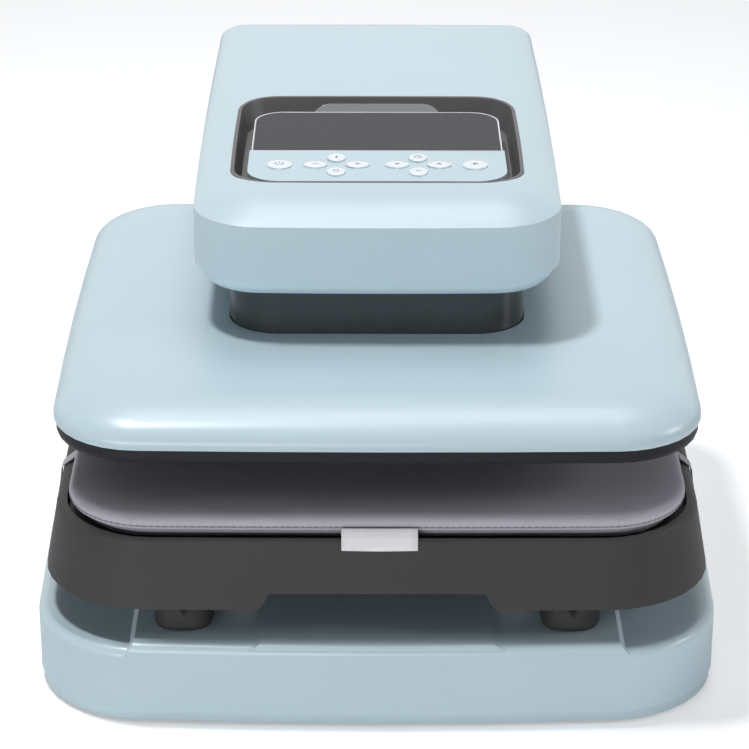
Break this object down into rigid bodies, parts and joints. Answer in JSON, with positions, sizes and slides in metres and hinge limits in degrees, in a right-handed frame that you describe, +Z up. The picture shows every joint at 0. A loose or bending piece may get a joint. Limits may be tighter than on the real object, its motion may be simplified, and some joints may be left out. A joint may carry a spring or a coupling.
{
  "type": "heat press",
  "caption": "Bench heat press: a motor-driven heated platen on a rear column and head lowers onto a padded tray that pulls out forwards, with a push-button panel on top.",
  "frame": {"origin": "on the ground under the middle of the base", "axes": "+Z up, -Y the front where the tray pulls out, +X to the right as seen from the front"},
  "size_m": [0.46, 0.608, 0.3045],
  "materials": {
    "case_blue": "satin moulded",
    "dark_plastic": "fine grain",
    "black_plastic": "fine grain",
    "grey_plastic": "smooth",
    "steel": "plain",
    "rubber_black": "matte",
    "bronze": "turned",
    "coated_aluminium": "dark non-stick coating",
    "insulation": "fibrous",
    "board_green": "laminate",
    "motor_paint": "satin",
    "window": "polished",
    "display": "polished",
    "pad_cloth": "woven, coated",
    "tag_cloth": "plain satin weave",
    "elastic": "ribbed elastic",
    "button_white": "satin"
  },
  "bodies": {
    "frame": {"base_shell": "case_blue", "base_plate": "steel", "rubber_feet": "rubber_black", "base_frame": "steel", "column_frame": "steel", "column_front": "case_blue", "column_rear": "case_blue", "power_inlet": "dark_plastic", "case_screws": "steel", "head_arm": "steel", "guide_plate": "steel", "guide_bushes": "bronze", "bearing_block": "steel", "head_lower": "case_blue", "head_upper": "case_blue", "handle_well": "dark_plastic", "grip_insert": "grey_plastic", "control_panel": "case_blue", "display_window": "window", "display_module": "display", "control_board": "board_green", "power_board": "board_green", "drive_motor": "motor_paint", "drive_belt": "rubber_black", "rails_outer": "steel"},
    "press": {"platen_cover": "case_blue", "platen_rim": "black_plastic", "heat_plate": "coated_aluminium", "heating_element": "steel", "insulation_board": "insulation", "thermal_sensor": "steel", "carriage_plate": "steel", "guide_rods": "steel", "nut_tower": "steel", "lead_nut": "bronze", "press_sleeve": "dark_plastic"},
    "screw": {"lead_screw": "steel", "screw_pulley": "steel"},
    "rotor": {"motor_shaft": "steel", "motor_pulley": "steel"},
    "tray": {"tray_shell": "dark_plastic", "tray_deck": "steel", "tray_bottom": "steel", "press_pad": "pad_cloth", "pad_label": "tag_cloth", "pad_straps": "elastic", "glide_feet": "rubber_black", "rails_inner": "steel"},
    "slide_middle": {"rails_middle": "steel"},
    "button_power": {"button_power": "button_white"},
    "button_left_a": {"button_left_a": "button_white"},
    "button_left_b": {"button_left_b": "button_white"},
    "button_left_c": {"button_left_c": "button_white"},
    "button_left_d": {"button_left_d": "button_white"},
    "button_right_a": {"button_right_a": "button_white"},
    "button_right_b": {"button_right_b": "button_white"},
    "button_right_c": {"button_right_c": "button_white"},
    "button_right_d": {"button_right_d": "button_white"},
    "button_start": {"button_start": "button_white"}
  },
  "joints": [
    {"name": "press_slide", "type": "slide", "parent": "frame", "child": "press", "axis": [0, 0, -1], "range_m": [0, 0.034]},
    {"name": "screw_spin", "type": "hinge", "parent": "frame", "child": "screw", "pos_m": [0, -0.072, 0.24], "axis": [0, 0, 1], "range_deg": [-10, 1545]},
    {"name": "motor_spin", "type": "hinge", "parent": "frame", "child": "rotor", "pos_m": [0, 0.235, 0.26], "axis": [0, 0, 1], "range_deg": [-20, 3090]},
    {"name": "tray_slide", "type": "slide", "parent": "frame", "child": "tray", "axis": [0, -1, 0], "range_m": [0, 0.24]},
    {"name": "rail_slide", "type": "slide", "parent": "frame", "child": "slide_middle", "axis": [0, -1, 0], "range_m": [0, 0.12]},
    {"name": "button_power_push", "type": "slide", "parent": "frame", "child": "button_power", "axis": [0, 0, -1], "range_m": [0, 0.001], "stiffness_N_per_m": 700, "springref_m": -0.0006},
    {"name": "button_left_a_push", "type": "slide", "parent": "frame", "child": "button_left_a", "axis": [0, 0, -1], "range_m": [0, 0.001], "stiffness_N_per_m": 700, "springref_m": -0.0006},
    {"name": "button_left_b_push", "type": "slide", "parent": "frame", "child": "button_left_b", "axis": [0, 0, -1], "range_m": [0, 0.001], "stiffness_N_per_m": 700, "springref_m": -0.0006},
    {"name": "button_left_c_push", "type": "slide", "parent": "frame", "child": "button_left_c", "axis": [0, 0, -1], "range_m": [0, 0.001], "stiffness_N_per_m": 700, "springref_m": -0.0006},
    {"name": "button_left_d_push", "type": "slide", "parent": "frame", "child": "button_left_d", "axis": [0, 0, -1], "range_m": [0, 0.001], "stiffness_N_per_m": 700, "springref_m": -0.0006},
    {"name": "button_right_a_push", "type": "slide", "parent": "frame", "child": "button_right_a", "axis": [0, 0, -1], "range_m": [0, 0.001], "stiffness_N_per_m": 700, "springref_m": -0.0006},
    {"name": "button_right_b_push", "type": "slide", "parent": "frame", "child": "button_right_b", "axis": [0, 0, -1], "range_m": [0, 0.001], "stiffness_N_per_m": 700, "springref_m": -0.0006},
    {"name": "button_right_c_push", "type": "slide", "parent": "frame", "child": "button_right_c", "axis": [0, 0, -1], "range_m": [0, 0.001], "stiffness_N_per_m": 700, "springref_m": -0.0006},
    {"name": "button_right_d_push", "type": "slide", "parent": "frame", "child": "button_right_d", "axis": [0, 0, -1], "range_m": [0, 0.001], "stiffness_N_per_m": 700, "springref_m": -0.0006},
    {"name": "button_start_push", "type": "slide", "parent": "frame", "child": "button_start", "axis": [0, 0, -1], "range_m": [0, 0.001], "stiffness_N_per_m": 700, "springref_m": -0.0006}
  ],
  "couplings": [
    {"joint": "screw_spin", "follows": "press_slide", "rad_per_m": 785.4},
    {"joint": "motor_spin", "follows": "press_slide", "rad_per_m": 1570.8},
    {"joint": "rail_slide", "follows": "tray_slide", "ratio": 0.5}
  ]
}
